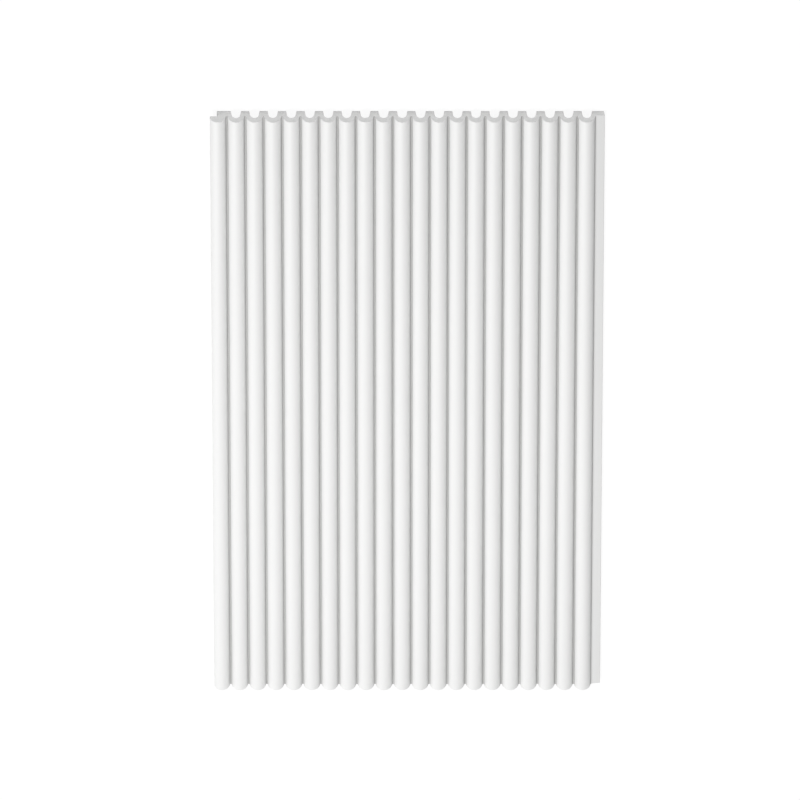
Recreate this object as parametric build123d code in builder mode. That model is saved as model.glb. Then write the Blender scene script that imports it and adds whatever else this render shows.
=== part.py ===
from build123d import *

import os
from math import cos, radians, sin, tan

# Fluted wall panel: one extruded length with half-round ribs in front, hollows behind
# and a lap joint along its long edges. It lies on its back: X runs across the ribs from
# the lip to the tongue, Y along them, Z from the back to the crowns, and the origin is
# under its middle.

# Overall dimensions, in millimetres
panel_length = 700.0
thickness = 9.0

# Ribs and the grooves between them
rib_count = 21
rib_pitch = 12.0
groove_width = 1.0
groove_fillet = 0.45
groove_fillet_share = 0.45
web_thickness = 4.0

# Hollows behind the ribs
crown_wall = 3.7
hollow_crown_radius = 2.9
hollow_draft = 10.0

# Lap joint: a lip and its rabbet on one edge, a tongue on the other
lip_underside = 4.0
lip_setback = 1.0
tongue_reach = 5.1
tongue_tip_thickness = 3.2
tip_lean = 12.0
rabbet_lean = 20.0
lap_clearance = 0.3
edge_radius = 0.4

# Places across the section, counted from the groove line at the joint before the first rib
cover_width = rib_count * rib_pitch
rib_radius = (rib_pitch - groove_width) / 2
crown_height = thickness - rib_radius
first_rib = rib_pitch / 2
last_rib = cover_width - rib_pitch / 2
rib_middle = (first_rib + last_rib) / 2
hollow_middle = rib_middle + rib_pitch / 2
groove_round = min(groove_fillet, groove_fillet_share * groove_width)

# Hollow: a round crown with flanks that run off it at the draft angle
hollow_depth = thickness - crown_wall
hollow_centre = hollow_depth - hollow_crown_radius
flank_top = hollow_centre + hollow_crown_radius * sin(radians(hollow_draft))
hollow_half_mouth = hollow_crown_radius * cos(radians(hollow_draft)) + flank_top * tan(radians(hollow_draft))

# Lap joint: the rabbet's wall leans over the tongue's tip, one clearance further in
rabbet_wall_back = tongue_reach + lap_clearance
rabbet_wall_top = rabbet_wall_back + tan(radians(rabbet_lean)) * lip_underside
tip_back = cover_width + tongue_reach
tip_front = tip_back + tan(radians(tip_lean)) * tongue_tip_thickness
tongue_seat = lip_underside - lap_clearance
tongue_slope = (tongue_seat - tongue_tip_thickness) / (tip_front - cover_width - lip_setback)
last_flank = last_rib + rib_radius
tongue_root = tongue_tip_thickness + tongue_slope * (tip_front - last_flank)
tongue_inner = tongue_tip_thickness + tongue_slope * (tip_front - last_rib)

# One rib: straight flanks under a half-round crown
with BuildSketch() as rib:
    with BuildLine():
        crown = CenterArc((0, crown_height), rib_radius, 0, 180)
        Polyline(crown @ 1, (-rib_radius, 0), (rib_radius, 0), crown @ 0)
    make_face()

# One hollow, open at the back
with BuildSketch() as hollow:
    with BuildLine():
        arch = CenterArc((0, hollow_centre), hollow_crown_radius, hollow_draft, 180 - 2 * hollow_draft)
        Polyline(arch @ 1, (-hollow_half_mouth, 0), (hollow_half_mouth, 0), arch @ 0)
    make_face()

# The whole section
with BuildSketch() as section:
    # Ribs side by side on the web
    with Locations((rib_middle, 0)):
        Rectangle(last_rib - first_rib, web_thickness, align=(Align.CENTER, Align.MIN))
        with GridLocations(rib_pitch, 0, rib_count, 1):
            add(rib.sketch)
    groove_floors = section.edges().filter_by(Axis.X).group_by(Axis.Y)[-1]
    fillet(groove_floors.vertices(), groove_round)

    # Tongue beyond the last rib
    with BuildLine():
        Polyline(
            (last_rib, 0),
            (tip_back, 0),
            (tip_front, tongue_tip_thickness),
            (last_rib, tongue_inner),
            close=True,
        )
    make_face()
    fillet(section.vertices().sort_by_distance((last_flank, tongue_root))[0], groove_round)
    fillet(section.vertices().sort_by_distance((tip_front, tongue_tip_thickness))[0], edge_radius)

    # Rabbet under the lip of the first rib, and the lip's blunt nose
    with BuildLine():
        Polyline(
            (0, 0),
            (rabbet_wall_back, 0),
            (rabbet_wall_top, lip_underside),
            (lip_setback, lip_underside),
            (lip_setback, thickness),
            (0, thickness),
            close=True,
        )
    make_face(mode=Mode.SUBTRACT)
    nose_corners = section.vertices().sort_by(Axis.X)[:2]
    fillet(nose_corners, edge_radius)
    fillet(section.vertices().sort_by_distance((rabbet_wall_top, lip_underside))[0], edge_radius)

    # Hollows behind every rib but the first, and eased corners along the back
    with Locations((hollow_middle, 0)):
        with GridLocations(rib_pitch, 0, rib_count - 1, 1):
            add(hollow.sketch, mode=Mode.SUBTRACT)
    fillet(section.vertices().group_by(Axis.Y)[0], edge_radius)

# The section drawn out along the panel, over the middle of its footprint
footprint_middle = section.sketch.bounding_box().center().X
with BuildPart() as fluted_panel:
    with BuildSketch(Plane(origin=(-footprint_middle, 0, 0), x_dir=(1, 0, 0), z_dir=(0, -1, 0))):
        add(section.sketch)
    extrude(amount=panel_length / 2, both=True)

fluted_panel.part.label = "fluted_panel"
os.makedirs("parts", exist_ok=True)
export_step(fluted_panel.part, "parts/fluted_panel.step")
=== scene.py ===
"""White fluted wall panel: its ribbed body, its finish and the plain studio it is shown in."""

import math
from types import SimpleNamespace

import bpy
from bpy.props import FloatProperty, FloatVectorProperty, IntProperty, PointerProperty
from mathutils import Matrix, Vector


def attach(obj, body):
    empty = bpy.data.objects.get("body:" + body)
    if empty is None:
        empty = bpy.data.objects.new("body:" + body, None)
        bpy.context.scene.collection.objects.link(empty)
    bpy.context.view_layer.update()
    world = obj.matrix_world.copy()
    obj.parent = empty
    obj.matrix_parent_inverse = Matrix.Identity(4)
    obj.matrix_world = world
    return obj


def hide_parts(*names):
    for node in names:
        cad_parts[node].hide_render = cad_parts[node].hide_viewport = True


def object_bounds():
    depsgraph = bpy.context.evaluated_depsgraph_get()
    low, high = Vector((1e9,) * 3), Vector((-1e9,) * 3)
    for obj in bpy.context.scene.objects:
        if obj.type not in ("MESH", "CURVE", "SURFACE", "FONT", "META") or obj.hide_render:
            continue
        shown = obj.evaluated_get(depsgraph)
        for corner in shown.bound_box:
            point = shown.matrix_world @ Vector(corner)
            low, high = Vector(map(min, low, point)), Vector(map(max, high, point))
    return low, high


bl_info = {
    "name": "Fluted wall panel",
    "version": (1, 0, 0),
    "blender": (4, 5, 0),
    "location": "View3D > Sidebar > Fluted panel",
    "description": "Builds a white fluted wall panel and the plain studio it is shown in",
    "category": "Add Mesh",
}

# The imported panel: X across the ribs, Y along them, Z from the back to the crowns, in metres
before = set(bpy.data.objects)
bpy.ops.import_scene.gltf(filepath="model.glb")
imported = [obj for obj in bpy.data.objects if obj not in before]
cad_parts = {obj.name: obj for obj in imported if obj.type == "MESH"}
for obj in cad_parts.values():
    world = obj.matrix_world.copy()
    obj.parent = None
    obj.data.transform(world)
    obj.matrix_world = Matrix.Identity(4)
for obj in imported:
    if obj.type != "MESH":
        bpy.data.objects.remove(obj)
CAD_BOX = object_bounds()
CAD_SIZE = CAD_BOX[1] - CAD_BOX[0]

MM = 0.001
QUARTER_TURN = math.pi / 2
HALF_TURN = math.pi

# Points on each round stretch of the section
RIB_POINTS = 17
GROOVE_POINTS = 9
HOLLOW_STEPS = 20
EDGE_STEPS = 5
LIP_BLEND = math.radians(5)

# Numbering of the section's points, and how close two of them are the same
ORDER = "order"
STRETCH_ROOM = 100000
SAME_PLACE = 0.002 * MM

# Colour sockets of a Mix node, and plain white
MIX_FIRST = 6
MIX_SECOND = 7
MIX_RESULT = 2
WHITE = (1, 1, 1, 1)

# Edges sharper than this are shaded as edges, and the sawn ends' outline is eased
SHARP_ANGLE = math.radians(25)
EASED_ANGLE = math.radians(60)
EASED_SEGMENTS = 2

# A face whose normal runs along the ribs by more than this is a sawn end
END_FACING = 0.5

# Skin: lines from the die, a grain and a cloudy unevenness; a scale counts features in a metre
FINE_DETAIL = 2
DIE_LINE_SCALE = (900, 0.4, 900)
DIE_LINE_STRENGTH = 0.15
DIE_LINE_DEPTH = 0.05 * MM
GRAIN_SCALE = 2200
GRAIN_STRENGTH = 0.12
GRAIN_DEPTH = 0.04 * MM
CLOUD_SCALE = 14
CLOUD_DETAIL = 3
SKIN_ROUGHNESS_PLAY = 0.06

# Painted groove shade: how far past edge-on a face has to turn to count as the front
FRONT_BLEND = 0.05

# Sawn ends: saw marks and open cells, on the same scales
SAW_MARK_SCALE = (1500, 1500, 90)
SAW_MARK_STRENGTH = 0.3
SAW_MARK_DEPTH = 0.05 * MM
CELL_SCALE = 3200
CELL_STRENGTH = 0.35
CELL_DEPTH = 0.06 * MM
CORE_ROUGHNESS_PLAY = 0.05

# The camera sees this many times as far as the panel
CLIP_REACH = 2


class PanelSizes(bpy.types.PropertyGroup):
    """Sizes of the panel's section and its length"""

    length: FloatProperty(
        name="Length",
        description="Length along the ribs",
        default=CAD_SIZE.y,
        unit="LENGTH",
    )
    thickness: FloatProperty(
        name="Thickness",
        description="From the back to the crowns of the ribs",
        default=CAD_SIZE.z,
        unit="LENGTH",
    )
    rib_count: IntProperty(
        name="Ribs",
        description="Number of ribs across the panel",
        default=21,
        min=3,
    )
    rib_pitch: FloatProperty(
        name="Rib pitch",
        description="From one rib's middle to the next",
        default=12 * MM,
        unit="LENGTH",
    )
    groove_width: FloatProperty(
        name="Groove width",
        description="Between two ribs, at the middle of their half-rounds",
        default=1 * MM,
        unit="LENGTH",
    )
    web_thickness: FloatProperty(
        name="Web thickness",
        description="From the back to the bottom of a groove",
        default=4 * MM,
        unit="LENGTH",
    )
    root_radius: FloatProperty(
        name="Root radius",
        description="Round where the tongue leaves the last rib",
        default=0.45 * MM,
        unit="LENGTH",
    )
    crown_wall: FloatProperty(
        name="Crown wall",
        description="Between a rib's crown and the hollow behind it",
        default=3.7 * MM,
        unit="LENGTH",
    )
    hollow_radius: FloatProperty(
        name="Hollow radius",
        description="Round of a hollow's crown",
        default=2.9 * MM,
        unit="LENGTH",
    )
    hollow_draft: FloatProperty(
        name="Hollow draft",
        description="Lean of a hollow's flanks",
        default=math.radians(10),
        subtype="ANGLE",
    )
    lip_underside: FloatProperty(
        name="Lip underside",
        description="Height of the lip over the wall",
        default=4 * MM,
        unit="LENGTH",
    )
    lip_setback: FloatProperty(
        name="Lip setback",
        description="From the joint line to the lip's nose",
        default=1 * MM,
        unit="LENGTH",
    )
    tongue_reach: FloatProperty(
        name="Tongue reach",
        description="How far the tongue stands out past the joint line",
        default=5.1 * MM,
        unit="LENGTH",
    )
    tongue_tip: FloatProperty(
        name="Tongue tip",
        description="Thickness of the tongue at its tip",
        default=3.2 * MM,
        unit="LENGTH",
    )
    tip_lean: FloatProperty(
        name="Tip lean",
        description="Lean of the tongue's tip",
        default=math.radians(12),
        subtype="ANGLE",
    )
    rabbet_lean: FloatProperty(
        name="Rabbet lean",
        description="Lean of the rabbet's wall under the first rib",
        default=math.radians(20),
        subtype="ANGLE",
    )
    lap_clearance: FloatProperty(
        name="Lap clearance",
        description="Play between tongue and lip",
        default=0.3 * MM,
        unit="LENGTH",
    )
    edge_radius: FloatProperty(
        name="Edge radius",
        description="Round of the section's outer corners",
        default=0.4 * MM,
        unit="LENGTH",
    )
    end_easing: FloatProperty(
        name="End easing",
        description="Width of the eased edge round a sawn end",
        default=0.2 * MM,
        unit="LENGTH",
    )


class PanelFinish(bpy.types.PropertyGroup):
    """Colours and gloss of the panel, with shade painted into its grooves"""

    skin_colour: FloatVectorProperty(
        name="Skin",
        description="White of the extruded skin",
        default=(0.865, 0.865, 0.86),
        subtype="COLOR",
    )
    skin_shade: FloatVectorProperty(
        name="Skin shade",
        description="White of the skin where it is a little duller",
        default=(0.85, 0.85, 0.845),
        subtype="COLOR",
    )
    skin_roughness: FloatProperty(
        name="Skin roughness",
        description="Satin gloss of the skin",
        default=0.5,
        subtype="FACTOR",
    )
    skin_gloss: FloatProperty(
        name="Skin gloss",
        description="Strength of the skin's reflections",
        default=0.4,
        subtype="FACTOR",
    )
    # Painted shade: a grey at the bottom of the grooves stands in for the shadow there, and fades out up
    # the ribs by the height below
    painted_groove_shade: FloatVectorProperty(
        name="Groove",
        description="Greyer tone at the bottom of the grooves",
        default=(0.5, 0.5, 0.495),
        subtype="COLOR",
    )
    painted_shade_fade: FloatProperty(
        name="Groove fade",
        description="Height over a groove's bottom at which its tone has faded out",
        default=2.4 * MM,
        unit="LENGTH",
    )
    # Painted shade: part of the grooves' grey laid on the tongue's face, standing in for the shadow of the
    # last rib
    tongue_painted_shade: FloatProperty(
        name="Tongue tone",
        description="Share of the grooves' tone on the face of the tongue",
        default=0.17,
        subtype="FACTOR",
    )
    core_colour: FloatVectorProperty(
        name="Core",
        description="White of the foam where it is sawn",
        default=(0.86, 0.86, 0.855),
        subtype="COLOR",
    )
    core_shade: FloatVectorProperty(
        name="Core shade",
        description="Tone in the open cells of the sawn foam",
        default=(0.80, 0.80, 0.795),
        subtype="COLOR",
    )
    core_roughness: FloatProperty(
        name="Core roughness",
        description="Dullness of the sawn foam",
        default=0.85,
        subtype="FACTOR",
    )


class StageSettings(bpy.types.PropertyGroup):
    """Camera, lamps, sky and floor round the panel"""

    view_tilt: FloatProperty(
        name="View tilt",
        description="How far the view leans from straight down towards the +Y end",
        default=math.radians(57.75),
        subtype="ANGLE",
    )
    view_width: FloatProperty(
        name="View width",
        description="Width of the picture at the panel",
        default=0.5263,
        unit="LENGTH",
    )
    view_middle: FloatVectorProperty(
        name="View middle",
        description="Point of the panel's frame in the middle of the picture",
        default=(-0.00474, -0.00199, 0),
        subtype="TRANSLATION",
        unit="LENGTH",
    )
    lens: FloatProperty(
        name="Lens",
        description="Focal length, long enough to show the edges almost parallel",
        default=1650,
        unit="CAMERA",
    )
    main_lamp_place: FloatVectorProperty(
        name="Main lamp place",
        description="Middle of the main lamp, over the panel on the lip's side",
        default=(-0.87, -0.51, 2.4),
        subtype="TRANSLATION",
        unit="LENGTH",
    )
    main_lamp_width: FloatProperty(
        name="Main lamp width",
        description="Side of the main lamp's square",
        default=1.4,
        unit="LENGTH",
    )
    main_lamp_power: FloatProperty(
        name="Main lamp power",
        description="Light from the main lamp",
        default=53,
        unit="POWER",
    )
    end_lamp_place: FloatVectorProperty(
        name="End lamp place",
        description="Middle of the lamp that lights the near sawn end",
        default=(0, 3, 0.4),
        subtype="TRANSLATION",
        unit="LENGTH",
    )
    end_lamp_width: FloatProperty(
        name="End lamp width",
        description="Side of the end lamp's square",
        default=1,
        unit="LENGTH",
    )
    end_lamp_power: FloatProperty(
        name="End lamp power",
        description="Light from the end lamp",
        default=18,
        unit="POWER",
    )
    sky_strength: FloatProperty(
        name="Sky strength",
        description="Even light from all round",
        default=0.32,
    )
    floor_width: FloatProperty(
        name="Floor width",
        description="Side of the floor's square",
        default=20,
        unit="LENGTH",
    )
    floor_gap: FloatProperty(
        name="Floor gap",
        description="Hair's breadth between the floor and the panel's back, which keeps their faces apart",
        default=0.05 * MM,
        unit="LENGTH",
    )
    floor_colour: FloatVectorProperty(
        name="Floor",
        description="Colour by which the floor throws light back",
        default=(0.8, 0.8, 0.8),
        subtype="COLOR",
    )
    floor_shaded: FloatVectorProperty(
        name="Shaded floor",
        description="Share of the seen floor that takes light and shadow",
        default=(0.1, 0.1, 0.1),
        subtype="COLOR",
    )
    floor_glow: FloatProperty(
        name="Floor glow",
        description="Share of the seen floor that is white whatever the light",
        default=0.92,
        subtype="FACTOR",
    )


# Node helpers
def fill_socket(tree, socket, value):
    """Links a socket to a node or an output, or sets its plain value."""
    if isinstance(value, bpy.types.Node):
        value = value.outputs[0]
    if isinstance(value, bpy.types.NodeSocket):
        tree.links.new(value, socket)
    else:
        socket.default_value = value


def add_node(tree, kind, inputs=None, **settings):
    """Adds a node with its settings, and fills the inputs that are given."""
    node = tree.nodes.new(kind)
    for name, value in settings.items():
        setattr(node, name, value)
    for key, value in (inputs or {}).items():
        fill_socket(tree, node.inputs[key], value)
    return node


def sum_of(tree, first, second):
    """Adds two numbers."""
    return add_node(tree, "ShaderNodeMath", {0: first, 1: second}, operation="ADD")


def times(tree, first, second):
    """Multiplies two numbers."""
    return add_node(tree, "ShaderNodeMath", {0: first, 1: second}, operation="MULTIPLY")


def minus(tree, value):
    """Turns a number's sign."""
    return times(tree, value, -1.0)


def vector_of(tree, **parts):
    """Makes a vector from its parts, named X, Y and Z."""
    return add_node(tree, "ShaderNodeCombineXYZ", parts)


def joined(tree, parts):
    """Puts several geometries together."""
    node = add_node(tree, "GeometryNodeJoinGeometry")
    for part in parts:
        fill_socket(tree, node.inputs["Geometry"], part)
    return node


# Curves of the section, drawn in the XY plane of the tree: X across, Y up from the back
def arc(tree, centre, radius, start, sweep, points):
    """A round stretch about a centre."""
    curve = add_node(
        tree,
        "GeometryNodeCurveArc",
        {"Resolution": points, "Radius": radius, "Start Angle": start, "Sweep Angle": sweep},
        mode="RADIUS",
    )
    return add_node(tree, "GeometryNodeTransform", {"Geometry": curve, "Translation": centre})


def picked(tree, kind, values):
    """Gives the point with each number its own value."""
    index = add_node(tree, "GeometryNodeInputIndex")
    node = add_node(tree, "GeometryNodeIndexSwitch", {"Index": index}, data_type=kind)
    while len(node.index_switch_items) < len(values):
        node.index_switch_items.new()
    for number, value in enumerate(values):
        fill_socket(tree, node.inputs[number + 1], value)
    return node


def square(place):
    """A corner, or an end, that has no round."""
    return (place, 0.0, 1)


def corner_run(tree, corners):
    """A run of straight stretches through corners, each a place, a radius and the steps of its round."""
    places, radii, steps = zip(*corners)
    line = add_node(tree, "GeometryNodeMeshLine", {"Count": len(corners)})
    placed = {"Geometry": line, "Position": picked(tree, "VECTOR", places)}
    bent = add_node(tree, "GeometryNodeSetPosition", placed)
    curve = add_node(tree, "GeometryNodeMeshToCurve", {"Mesh": bent})
    rounded = {
        "Curve": curve,
        "Count": picked(tree, "INT", steps),
        "Radius": picked(tree, "FLOAT", radii),
    }
    return add_node(tree, "GeometryNodeFilletCurve", rounded, mode="POLY")


def chain(tree, curves):
    """One curve through the points of several, in the order given."""
    numbered = []
    for rank, curve in enumerate(curves):
        points = add_node(tree, "GeometryNodeCurveToPoints", {"Curve": curve}, mode="EVALUATED")
        number = sum_of(tree, add_node(tree, "GeometryNodeInputIndex"), float(rank * STRETCH_ROOM))
        stored = {"Geometry": points, "Name": ORDER, "Value": number}
        numbered.append(
            add_node(tree, "GeometryNodeStoreNamedAttribute", stored, data_type="FLOAT", domain="POINT")
        )
    order = add_node(tree, "GeometryNodeInputNamedAttribute", {"Name": ORDER}, data_type="FLOAT")
    return add_node(
        tree, "GeometryNodePointsToCurves", {"Points": joined(tree, numbered), "Weight": order}
    )


def repeated(tree, profile, count, start, step):
    """A row of equal curves, realized."""
    line = {"Count": count, "Start Location": start, "Offset": step}
    row = add_node(tree, "GeometryNodeMeshLine", line, mode="OFFSET")
    copies = add_node(tree, "GeometryNodeInstanceOnPoints", {"Points": row, "Instance": profile})
    return add_node(tree, "GeometryNodeRealizeInstances", {"Geometry": copies})


def section_places(sizes):
    """Places in the section, counted from the joint line before the first rib and from the back."""
    half_pitch = sizes.rib_pitch / 2
    rib_radius = half_pitch - sizes.groove_width / 2
    crown_height = sizes.thickness - rib_radius
    cover_width = sizes.rib_count * sizes.rib_pitch
    first_rib = half_pitch
    last_rib = cover_width - half_pitch

    # Groove: one round that touches both ribs and the web
    web_rise = sizes.web_thickness - crown_height
    groove_radius = (half_pitch**2 + web_rise**2 - rib_radius**2) / (2 * (rib_radius - web_rise))
    groove_height = sizes.web_thickness + groove_radius
    groove_lean = math.atan2(groove_height - crown_height, half_pitch)

    # Hollow: a round between two flanks that would meet at a point
    hollow_centre = sizes.thickness - sizes.crown_wall - sizes.hollow_radius
    hollow_point = hollow_centre + sizes.hollow_radius / math.sin(sizes.hollow_draft)
    hollow_half_mouth = hollow_point * math.tan(sizes.hollow_draft)

    # Tongue: its tip leans, and its face falls from under the next lip to the tip
    tip_back = cover_width + sizes.tongue_reach
    tip_front = tip_back + math.tan(sizes.tip_lean) * sizes.tongue_tip
    seat = sizes.lip_underside - sizes.lap_clearance
    slope = (seat - sizes.tongue_tip) / (tip_front - cover_width - sizes.lip_setback)
    root_height = sizes.tongue_tip + slope * (tip_front - last_rib - rib_radius)
    root_reach = math.sqrt(rib_radius**2 - (root_height - crown_height) ** 2)

    # Lip: its nose is cut square from the first rib, over a rabbet whose wall leans
    wall_back = sizes.tongue_reach + sizes.lap_clearance
    wall_top = wall_back + math.tan(sizes.rabbet_lean) * sizes.lip_underside
    nose_reach = first_rib - sizes.lip_setback
    nose_rise = math.sqrt(rib_radius**2 - nose_reach**2)
    lip_angle = math.atan2(nose_rise, -nose_reach) - LIP_BLEND

    return SimpleNamespace(
        rib_radius=rib_radius,
        crown_height=crown_height,
        first_rib=first_rib,
        last_rib=last_rib,
        groove_radius=groove_radius,
        groove_height=groove_height,
        groove_lean=groove_lean,
        hollow_point=hollow_point,
        hollow_half_mouth=hollow_half_mouth,
        tongue_start=Vector(
            (
                last_rib + rib_radius * math.cos(groove_lean),
                crown_height + rib_radius * math.sin(groove_lean),
                0,
            )
        ),
        tongue_root=Vector((last_rib + root_reach, root_height, 0)),
        tongue_tip_front=Vector((tip_front, sizes.tongue_tip, 0)),
        tongue_tip_back=Vector((tip_back, 0, 0)),
        tongue_end=Vector((cover_width, 0, 0)),
        lip_start=Vector((sizes.rib_pitch, 0, 0)),
        lip_wall_back=Vector((wall_back, 0, 0)),
        lip_wall_top=Vector((wall_top, sizes.lip_underside, 0)),
        lip_nose_back=Vector((sizes.lip_setback, sizes.lip_underside, 0)),
        lip_nose_front=Vector((sizes.lip_setback, crown_height + nose_rise, 0)),
        lip_end=Vector(
            (
                first_rib + rib_radius * math.cos(lip_angle),
                crown_height + rib_radius * math.sin(lip_angle),
                0,
            )
        ),
        lip_angle=lip_angle,
    )


def body_inputs(sizes, skin, core):
    """Named inputs of the body's tree, with their values."""
    places = section_places(sizes)
    return {
        "Length": sizes.length,
        "Rib Count": sizes.rib_count,
        "Rib Pitch": sizes.rib_pitch,
        "Rib Radius": places.rib_radius,
        "Crown Height": places.crown_height,
        "First Rib": places.first_rib,
        "Last Rib": places.last_rib,
        "Groove Radius": places.groove_radius,
        "Groove Height": places.groove_height,
        "Groove Lean": places.groove_lean,
        "Hollow Radius": sizes.hollow_radius,
        "Hollow Point": places.hollow_point,
        "Hollow Half Mouth": places.hollow_half_mouth,
        "Edge Radius": sizes.edge_radius,
        "Root Radius": sizes.root_radius,
        "Tongue Start": places.tongue_start,
        "Tongue Root": places.tongue_root,
        "Tongue Tip Front": places.tongue_tip_front,
        "Tongue Tip Back": places.tongue_tip_back,
        "Tongue End": places.tongue_end,
        "Lip Start": places.lip_start,
        "Lip Wall Back": places.lip_wall_back,
        "Lip Wall Top": places.lip_wall_top,
        "Lip Nose Back": places.lip_nose_back,
        "Lip Nose Front": places.lip_nose_front,
        "Lip End": places.lip_end,
        "Lip Angle": places.lip_angle,
        "Shift": CAD_BOX[0].x - sizes.lip_setback,
        "Skin": skin,
        "Core": core,
    }


SOCKET_KINDS = {
    int: "NodeSocketInt",
    float: "NodeSocketFloat",
    Vector: "NodeSocketVector",
    bpy.types.Material: "NodeSocketMaterial",
}


def flute_profile(tree, sizes):
    """Half a rib, a groove and half of the next rib, about the groove's middle."""
    half_pitch = times(tree, sizes["Rib Pitch"], 0.5)
    left_rib = vector_of(tree, X=minus(tree, half_pitch), Y=sizes["Crown Height"])
    right_rib = vector_of(tree, X=half_pitch, Y=sizes["Crown Height"])
    groove = vector_of(tree, Y=sizes["Groove Height"])
    lean = sizes["Groove Lean"]
    fall = sum_of(tree, lean, -QUARTER_TURN)
    groove_start = sum_of(tree, lean, HALF_TURN)
    groove_sweep = sum_of(tree, times(tree, lean, -2.0), HALF_TURN)
    rise_start = sum_of(tree, minus(tree, lean), HALF_TURN)
    return chain(
        tree,
        [
            arc(tree, left_rib, sizes["Rib Radius"], QUARTER_TURN, fall, RIB_POINTS),
            arc(tree, groove, sizes["Groove Radius"], groove_start, groove_sweep, GROOVE_POINTS),
            arc(tree, right_rib, sizes["Rib Radius"], rise_start, fall, RIB_POINTS),
        ],
    )


def hollow_profile(tree, sizes):
    """A hollow with half a land on each side, drawn towards the lip."""
    half_pitch = times(tree, sizes["Rib Pitch"], 0.5)
    half_mouth = sizes["Hollow Half Mouth"]
    edge = sizes["Edge Radius"]
    return corner_run(
        tree,
        [
            square(vector_of(tree, X=half_pitch)),
            (vector_of(tree, X=half_mouth), edge, EDGE_STEPS),
            (vector_of(tree, Y=sizes["Hollow Point"]), sizes["Hollow Radius"], HOLLOW_STEPS),
            (vector_of(tree, X=minus(tree, half_mouth)), edge, EDGE_STEPS),
            square(vector_of(tree, X=minus(tree, half_pitch))),
        ],
    )


def tongue_profile(tree, sizes):
    """The last rib's outer flank and the tongue, back to the last land."""
    centre = vector_of(tree, X=sizes["Last Rib"], Y=sizes["Crown Height"])
    fall = sum_of(tree, sizes["Groove Lean"], -QUARTER_TURN)
    edge = sizes["Edge Radius"]
    return [
        arc(tree, centre, sizes["Rib Radius"], QUARTER_TURN, fall, RIB_POINTS),
        corner_run(
            tree,
            [
                square(sizes["Tongue Start"]),
                (sizes["Tongue Root"], sizes["Root Radius"], EDGE_STEPS),
                (sizes["Tongue Tip Front"], edge, EDGE_STEPS),
                (sizes["Tongue Tip Back"], edge, EDGE_STEPS),
                square(sizes["Tongue End"]),
            ],
        ),
    ]


def lip_profile(tree, sizes):
    """The first land, the rabbet, the lip's nose and the first rib's outer flank."""
    centre = vector_of(tree, X=sizes["First Rib"], Y=sizes["Crown Height"])
    rise = sum_of(tree, minus(tree, sizes["Lip Angle"]), QUARTER_TURN)
    edge = sizes["Edge Radius"]
    return [
        corner_run(
            tree,
            [
                square(sizes["Lip Start"]),
                (sizes["Lip Wall Back"], edge, EDGE_STEPS),
                (sizes["Lip Wall Top"], edge, EDGE_STEPS),
                (sizes["Lip Nose Back"], edge, EDGE_STEPS),
                (sizes["Lip Nose Front"], edge, EDGE_STEPS),
                square(sizes["Lip End"]),
            ],
        ),
        arc(tree, centre, sizes["Rib Radius"], sizes["Lip Angle"], rise, RIB_POINTS),
    ]


def body_tree(inputs):
    """Geometry nodes that draw the section and draw it out along the panel."""
    tree = bpy.data.node_groups.new("fluted_body", "GeometryNodeTree")
    for name, value in inputs.items():
        tree.interface.new_socket(name=name, in_out="INPUT", socket_type=SOCKET_KINDS[type(value)])
    tree.interface.new_socket(name="Geometry", in_out="OUTPUT", socket_type="NodeSocketGeometry")
    sizes = tree.nodes.new("NodeGroupInput").outputs
    pitch = sizes["Rib Pitch"]
    grooves = sum_of(tree, sizes["Rib Count"], -1.0)

    # Outline: ribs and grooves, the tongue, hollows and lands, the lip
    flutes = repeated(
        tree,
        flute_profile(tree, sizes),
        grooves,
        vector_of(tree, X=pitch),
        vector_of(tree, X=pitch),
    )
    hollows = repeated(
        tree,
        hollow_profile(tree, sizes),
        grooves,
        vector_of(tree, X=sizes["Last Rib"]),
        vector_of(tree, X=minus(tree, pitch)),
    )
    stretches = [flutes, *tongue_profile(tree, sizes), hollows, *lip_profile(tree, sizes)]
    outline = add_node(
        tree, "GeometryNodeSetSplineCyclic", {"Geometry": chain(tree, stretches), "Cyclic": True}
    )

    # Solid: the filled section drawn out, with its first face turned to close the far end
    face = add_node(tree, "GeometryNodeFillCurve", {"Curve": outline}, mode="NGONS")
    clean_face = add_node(
        tree, "GeometryNodeMergeByDistance", {"Geometry": face, "Distance": SAME_PLACE}
    )
    drawn = {"Mesh": clean_face, "Offset": vector_of(tree, Z=sizes["Length"]), "Individual": False}
    length = add_node(tree, "GeometryNodeExtrudeMesh", drawn, mode="FACES")
    closing = add_node(tree, "GeometryNodeFlipFaces", {"Mesh": clean_face})
    solid = add_node(
        tree,
        "GeometryNodeMergeByDistance",
        {"Geometry": joined(tree, [length, closing]), "Distance": SAME_PLACE},
    )
    laid = {
        "Geometry": solid,
        "Translation": vector_of(tree, X=sizes["Shift"], Y=times(tree, sizes["Length"], 0.5)),
        "Rotation": (QUARTER_TURN, 0, 0),
    }
    flat = add_node(tree, "GeometryNodeTransform", laid)

    # Finish: skin all over, sawn core on the two ends
    whole = add_node(tree, "GeometryNodeRealizeInstances", {"Geometry": flat})
    skinned = add_node(
        tree, "GeometryNodeSetMaterial", {"Geometry": whole, "Material": sizes["Skin"]}
    )
    facing = add_node(
        tree, "ShaderNodeSeparateXYZ", {"Vector": add_node(tree, "GeometryNodeInputNormal")}
    )
    lengthwise = add_node(tree, "ShaderNodeMath", {0: facing.outputs["Y"]}, operation="ABSOLUTE")
    is_end = add_node(tree, "ShaderNodeMath", {0: lengthwise, 1: END_FACING}, operation="GREATER_THAN")
    sawn = {"Geometry": skinned, "Selection": is_end, "Material": sizes["Core"]}
    ended = add_node(tree, "GeometryNodeSetMaterial", sawn)
    add_node(tree, "NodeGroupOutput", {"Geometry": ended})
    return tree


# Materials
def new_material(name):
    """An empty node material."""
    material = bpy.data.materials.new(name)
    material.use_nodes = True
    material.node_tree.nodes.clear()
    return material


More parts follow.
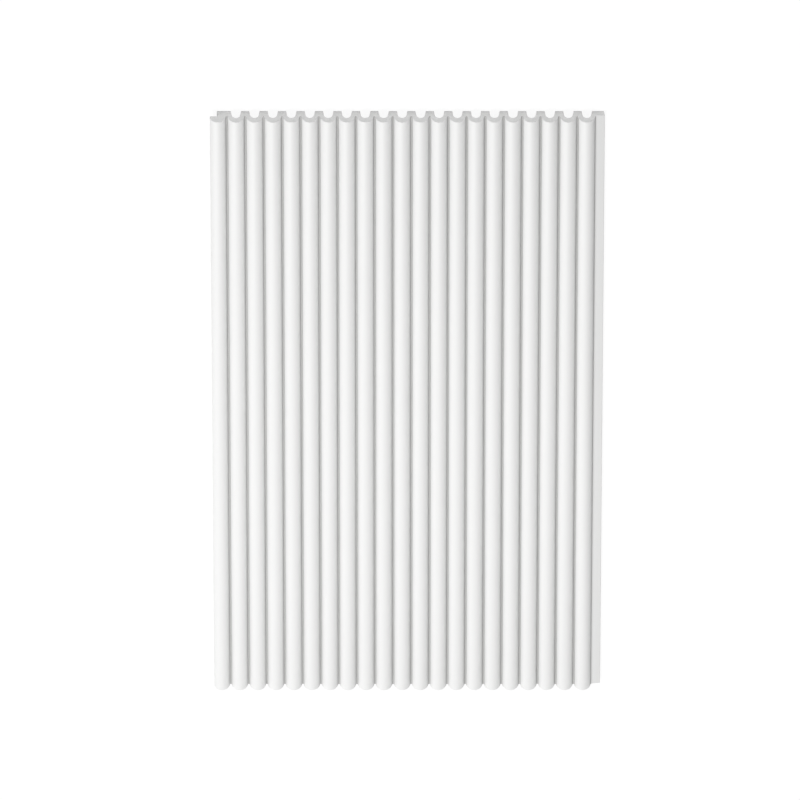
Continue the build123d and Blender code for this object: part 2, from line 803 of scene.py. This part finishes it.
def tinted(tree, factor, low, high):
    """A colour between two tones."""
    tones = add_node(tree, "ShaderNodeValToRGB", {"Fac": factor})
    tones.color_ramp.elements[0].color = (*low, 1)
    tones.color_ramp.elements[1].color = (*high, 1)
    return tones


def spread(tree, value, low, high):
    """A number from 0 to 1 spread between two others."""
    return add_node(tree, "ShaderNodeMapRange", {"Value": value, "To Min": low, "To Max": high})


def ramp(tree, value, start, end):
    """Rises softly from 0 at the start to 1 at the end."""
    inputs = {"Value": value, "From Min": start, "From Max": end}
    return add_node(tree, "ShaderNodeMapRange", inputs, interpolation_type="SMOOTHSTEP")


def varied(tree, value, middle, play):
    """A number that keeps within its play of the middle."""
    return spread(tree, value, middle - play, middle + play)


def noise(tree, place, scale, detail=FINE_DETAIL):
    """An uneven pattern with so many features in a metre, the same or different along each axis."""
    if isinstance(scale, tuple):
        place = add_node(tree, "ShaderNodeMapping", {"Vector": place, "Scale": scale})
        scale = 1
    return add_node(tree, "ShaderNodeTexNoise", {"Vector": place, "Scale": scale, "Detail": detail})


def bumped(tree, height, strength, depth, under=None):
    """A fine relief, laid over another one where that is given."""
    relief = {"Strength": strength, "Distance": depth, "Height": height}
    if under is not None:
        relief["Normal"] = under
    return add_node(tree, "ShaderNodeBump", relief)


def coated(tree, surface):
    """Gives a material its shader."""
    shader = add_node(tree, "ShaderNodeBsdfPrincipled", surface)
    add_node(tree, "ShaderNodeOutputMaterial", {"Surface": shader})


def painted_shade_share(tree, place, sizes, finish):
    """Share of painted shade: 1 at the bottom of the grooves in front, fading up the ribs, and less on the
    tongue.
    """
    parts = add_node(tree, "ShaderNodeSeparateXYZ", {"Vector": place}).outputs
    normal = add_node(tree, "ShaderNodeNewGeometry").outputs["Normal"]
    facing = add_node(tree, "ShaderNodeSeparateXYZ", {"Vector": normal}).outputs
    bottom = sizes.web_thickness
    first_rib = CAD_BOX[0].x - sizes.lip_setback + sizes.rib_pitch / 2
    low = ramp(tree, parts["Z"], bottom + finish.painted_shade_fade, bottom)
    off_tongue = ramp(tree, parts["Z"], bottom - sizes.lap_clearance, bottom)
    over_tongue = spread(tree, off_tongue, finish.tongue_painted_shade, 1.0)
    past_lip = ramp(tree, parts["X"], first_rib, first_rib + sizes.groove_width)
    in_front = ramp(tree, facing["Z"], -FRONT_BLEND, FRONT_BLEND)
    return times(tree, times(tree, low, over_tongue), times(tree, past_lip, in_front))


def skin_material(sizes, finish):
    """Smooth white skin with faint lines from the die, a fine grain, and shade painted into the grooves
    and, faintly, onto the tongue.
    """
    material = new_material("white_skin")
    tree = material.node_tree
    place = add_node(tree, "ShaderNodeTexCoord").outputs["Object"]
    grain = noise(tree, place, GRAIN_SCALE)
    cloud = noise(tree, place, CLOUD_SCALE, CLOUD_DETAIL)
    lined = bumped(tree, noise(tree, place, DIE_LINE_SCALE), DIE_LINE_STRENGTH, DIE_LINE_DEPTH)
    white = tinted(tree, cloud, finish.skin_shade, finish.skin_colour)
    # Painted shade: grey mixed into the white at the groove bottoms and, more faintly, on the tongue, in
    # place of the shadow there
    with_painted_shade = add_node(tree, "ShaderNodeMix", data_type="RGBA")
    fill_socket(tree, with_painted_shade.inputs["Factor"], painted_shade_share(tree, place, sizes, finish))
    fill_socket(tree, with_painted_shade.inputs[MIX_FIRST], white)
    fill_socket(tree, with_painted_shade.inputs[MIX_SECOND], (*finish.painted_groove_shade, 1))
    surface = {
        "Base Color": with_painted_shade.outputs[MIX_RESULT],
        "Roughness": varied(tree, grain, finish.skin_roughness, SKIN_ROUGHNESS_PLAY),
        "Specular IOR Level": finish.skin_gloss,
        "Normal": bumped(tree, grain, GRAIN_STRENGTH, GRAIN_DEPTH, lined),
    }
    coated(tree, surface)
    return material


def core_material(finish):
    """Dull foam at the sawn ends, with fine open cells and saw marks."""
    material = new_material("sawn_core")
    tree = material.node_tree
    place = add_node(tree, "ShaderNodeTexCoord").outputs["Object"]
    pattern = add_node(tree, "ShaderNodeTexVoronoi", {"Vector": place, "Scale": CELL_SCALE})
    cells = pattern.outputs["Distance"]
    marks = noise(tree, place, SAW_MARK_SCALE)
    marked = bumped(tree, marks, SAW_MARK_STRENGTH, SAW_MARK_DEPTH)
    surface = {
        "Base Color": tinted(tree, cells, finish.core_shade, finish.core_colour),
        "Roughness": varied(tree, marks, finish.core_roughness, CORE_ROUGHNESS_PLAY),
        "Normal": bumped(tree, cells, CELL_STRENGTH, CELL_DEPTH, marked),
    }
    coated(tree, surface)
    return material


def seen_rays(tree):
    """1 for rays that show the stage to the camera, straight or by way of gloss and glass."""
    path = add_node(tree, "ShaderNodeLightPath").outputs
    direct = {0: path["Is Camera Ray"], 1: path["Is Glossy Ray"]}
    straight = add_node(tree, "ShaderNodeMath", direct, operation="MAXIMUM")
    through = {0: straight, 1: path["Is Transmission Ray"]}
    return add_node(tree, "ShaderNodeMath", through, operation="MAXIMUM")


def floor_material(stage):
    """Pale floor that is white to the eye and still takes the panel's shadow."""
    material = new_material("pale_floor")
    tree = material.node_tree
    bounce = add_node(tree, "ShaderNodeBsdfDiffuse", {"Color": (*stage.floor_colour, 1)})
    shaded = add_node(tree, "ShaderNodeBsdfDiffuse", {"Color": (*stage.floor_shaded, 1)})
    glow = add_node(tree, "ShaderNodeEmission", {"Strength": stage.floor_glow})
    shown = add_node(tree, "ShaderNodeAddShader", {0: shaded, 1: glow})
    mixed = add_node(tree, "ShaderNodeMixShader", {0: seen_rays(tree), 1: bounce, 2: shown})
    add_node(tree, "ShaderNodeOutputMaterial", {"Surface": mixed})
    return material


# Objects
def add_object(name, data):
    """Puts a new object into the scene, at the origin."""
    thing = bpy.data.objects.new(name, data)
    bpy.context.scene.collection.objects.link(thing)
    return thing


def made_plain(piece):
    """Turns a piece with modifiers into a plain mesh, smooth but for its edges."""
    depsgraph = bpy.context.evaluated_depsgraph_get()
    first_mesh = piece.data
    mesh = bpy.data.meshes.new_from_object(piece.evaluated_get(depsgraph))
    piece.modifiers.clear()
    piece.data = mesh
    bpy.data.meshes.remove(first_mesh)
    mesh.name = piece.name
    mesh.shade_smooth()
    mesh.set_sharp_from_angle(angle=SHARP_ANGLE)
    return mesh


class BuildPanelBody(bpy.types.Operator):
    """Build the ribbed body in one piece, with its skin and its sawn ends"""

    bl_idname = "fluted_panel.build_body"
    bl_label = "Build body"

    def execute(self, context):
        sizes = context.scene.fluted_panel_sizes
        finish = context.scene.fluted_panel_finish
        inputs = body_inputs(sizes, skin_material(sizes, finish), core_material(finish))
        tree = body_tree(inputs)
        body = add_object("ribbed_panel", bpy.data.meshes.new("ribbed_panel"))
        drawn = body.modifiers.new("Section", "NODES")
        drawn.node_group = tree
        for socket in tree.interface.items_tree:
            if socket.in_out == "INPUT":
                drawn[socket.identifier] = inputs[socket.name]
        eased = body.modifiers.new("Eased ends", "BEVEL")
        eased.width = sizes.end_easing
        eased.segments = EASED_SEGMENTS
        eased.limit_method = "ANGLE"
        eased.angle_limit = EASED_ANGLE
        eased.use_clamp_overlap = False
        if not made_plain(body).polygons:
            raise RuntimeError("the section gave no faces")
        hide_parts("fluted_panel")
        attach(body, "root")
        return {"FINISHED"}


class BuildPanelStage(bpy.types.Operator):
    """Set up the floor, the sky, the lamps and the camera"""

    bl_idname = "fluted_panel.build_stage"
    bl_label = "Build stage"

    def execute(self, context):
        stage = context.scene.fluted_panel_stage
        context.scene.view_settings.view_transform = "Standard"
        self.add_floor(stage)
        self.add_sky(context.scene, stage)
        self.add_lamp("main_lamp", stage.main_lamp_place, stage.main_lamp_width, stage.main_lamp_power)
        self.add_lamp("end_lamp", stage.end_lamp_place, stage.end_lamp_width, stage.end_lamp_power)
        self.add_camera(context.scene, stage)
        return {"FINISHED"}

    def add_floor(self, stage):
        """A pale square under the panel."""
        reach = stage.floor_width / 2
        sides = [(-reach, -reach), (reach, -reach), (reach, reach), (-reach, reach)]
        corners = [(*side, -stage.floor_gap) for side in sides]
        mesh = bpy.data.meshes.new("floor")
        mesh.from_pydata(corners, [], [(0, 1, 2, 3)])
        mesh.materials.append(floor_material(stage))
        add_object("floor", mesh)

    def add_sky(self, scene, stage):
        """Even light from all round, white where the camera sees it."""
        world = bpy.data.worlds.new("even_sky")
        world.use_nodes = True
        tree = world.node_tree
        tree.nodes.clear()
        strength = spread(tree, seen_rays(tree), stage.sky_strength, 1.0)
        sky = {"Color": WHITE, "Strength": strength}
        background = add_node(tree, "ShaderNodeBackground", sky)
        add_node(tree, "ShaderNodeOutputWorld", {"Surface": background})
        scene.world = world

    def add_lamp(self, name, place, width, power):
        """A soft square lamp, turned to the panel."""
        light = bpy.data.lights.new(name, "AREA")
        light.shape = "SQUARE"
        light.size = width
        light.energy = power
        lamp = add_object(name, light)
        lamp.location = place
        lamp.rotation_mode = "QUATERNION"
        lamp.rotation_quaternion = (-lamp.location).to_track_quat("-Z", "Y")

    def add_camera(self, scene, stage):
        """A long lens that looks down on the panel, with its +Y end at the top of the picture."""
        data = bpy.data.cameras.new("camera")
        data.lens = stage.lens
        distance = stage.view_width * stage.lens / data.sensor_width
        data.clip_end = CLIP_REACH * distance
        camera = add_object("camera", data)
        right = Vector((1, 0, 0))
        back = Vector((0, math.sin(stage.view_tilt), math.cos(stage.view_tilt)))
        up = back.cross(right)
        turn = Matrix((right, up, back)).transposed()
        place = Vector(stage.view_middle) + distance * back
        camera.matrix_world = Matrix.Translation(place) @ turn.to_4x4()
        scene.camera = camera


class PanelSidebar(bpy.types.Panel):
    """Sizes, finish and stage of the fluted panel"""

    bl_idname = "VIEW3D_PT_fluted_panel"
    bl_label = "Fluted wall panel"
    bl_space_type = "VIEW_3D"
    bl_region_type = "UI"
    bl_category = "Fluted panel"

    def draw(self, context):
        scene = context.scene
        steps = [
            ((scene.fluted_panel_sizes, scene.fluted_panel_finish), BuildPanelBody),
            ((scene.fluted_panel_stage,), BuildPanelStage),
        ]
        for groups, operator in steps:
            box = self.layout.box()
            for group in groups:
                for name in group.__annotations__:
                    box.prop(group, name)
            box.operator(operator.bl_idname)


CLASSES = (
    PanelSizes,
    PanelFinish,
    StageSettings,
    BuildPanelBody,
    BuildPanelStage,
    PanelSidebar,
)


def register():
    """Makes the settings, the operators and the sidebar known to Blender."""
    for cls in CLASSES:
        bpy.utils.register_class(cls)
    bpy.types.Scene.fluted_panel_sizes = PointerProperty(type=PanelSizes)
    bpy.types.Scene.fluted_panel_finish = PointerProperty(type=PanelFinish)
    bpy.types.Scene.fluted_panel_stage = PointerProperty(type=StageSettings)


def unregister():
    """Takes them out again."""
    del bpy.types.Scene.fluted_panel_stage
    del bpy.types.Scene.fluted_panel_finish
    del bpy.types.Scene.fluted_panel_sizes
    for cls in reversed(CLASSES):
        bpy.utils.unregister_class(cls)


def main():
    """Builds the panel and its stage."""
    register()
    bpy.ops.fluted_panel.build_body()
    bpy.ops.fluted_panel.build_stage()


if __name__ == "__main__":
    main()
